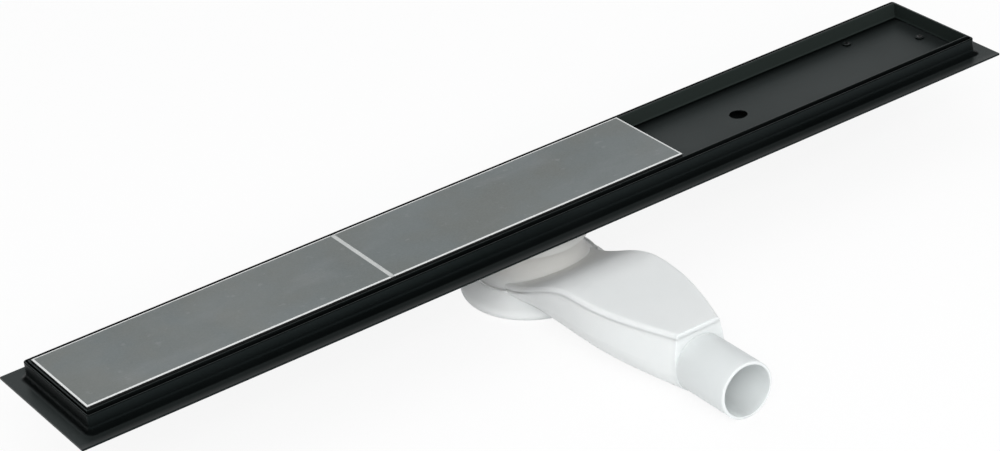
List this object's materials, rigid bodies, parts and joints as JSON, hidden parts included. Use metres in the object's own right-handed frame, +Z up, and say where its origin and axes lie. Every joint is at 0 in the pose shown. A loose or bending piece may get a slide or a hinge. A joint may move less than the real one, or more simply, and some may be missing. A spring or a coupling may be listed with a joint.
{
  "type": "linear shower channel drain",
  "caption": "Linear shower channel of black-coated sheet with a tile-insert tray on levelling screws, part tiled, and a low swivelling trap with a side outlet pipe.",
  "frame": {"origin": "middle of the channel, in the plane of the flange's top face", "axes": "+X along the channel, +Z up out of the floor; the trap's outlet pipe leaves along -Y"},
  "size_m": [0.75, 0.2925, 0.0761],
  "materials": {
    "coated_steel": "satin black coating on stainless sheet",
    "bare_steel": "blackened stainless",
    "tile": "fine matt grey stoneware",
    "mortar": "pale grey cement",
    "trap_plastic": "milky white moulded polypropylene",
    "insert_plastic": "black moulded plastic",
    "seal_rubber": "black rubber"
  },
  "bodies": {
    "channel": {"channel_frame": "coated_steel", "channel_trough": "coated_steel", "outlet_neck": "coated_steel", "tile_tray": "coated_steel", "levelling_nuts": "coated_steel", "levelling_screws": "bare_steel", "clamp_screws": "bare_steel", "hair_strainer": "bare_steel", "tile_left": "tile", "tile_right": "tile", "tile_joint": "mortar", "tile_adhesive": "mortar", "swivel_ring": "trap_plastic", "odour_insert": "insert_plastic", "swivel_gasket": "seal_rubber", "insert_seal": "seal_rubber"},
    "trap": {"trap_lid": "trap_plastic", "trap_tub": "trap_plastic", "neck_seal": "seal_rubber"}
  },
  "joints": [
    {"name": "trap_swivel", "type": "hinge", "parent": "channel", "child": "trap", "pos_m": [0, 0, -0.016], "axis": [0, 0, 1], "continuous": true}
  ]
}
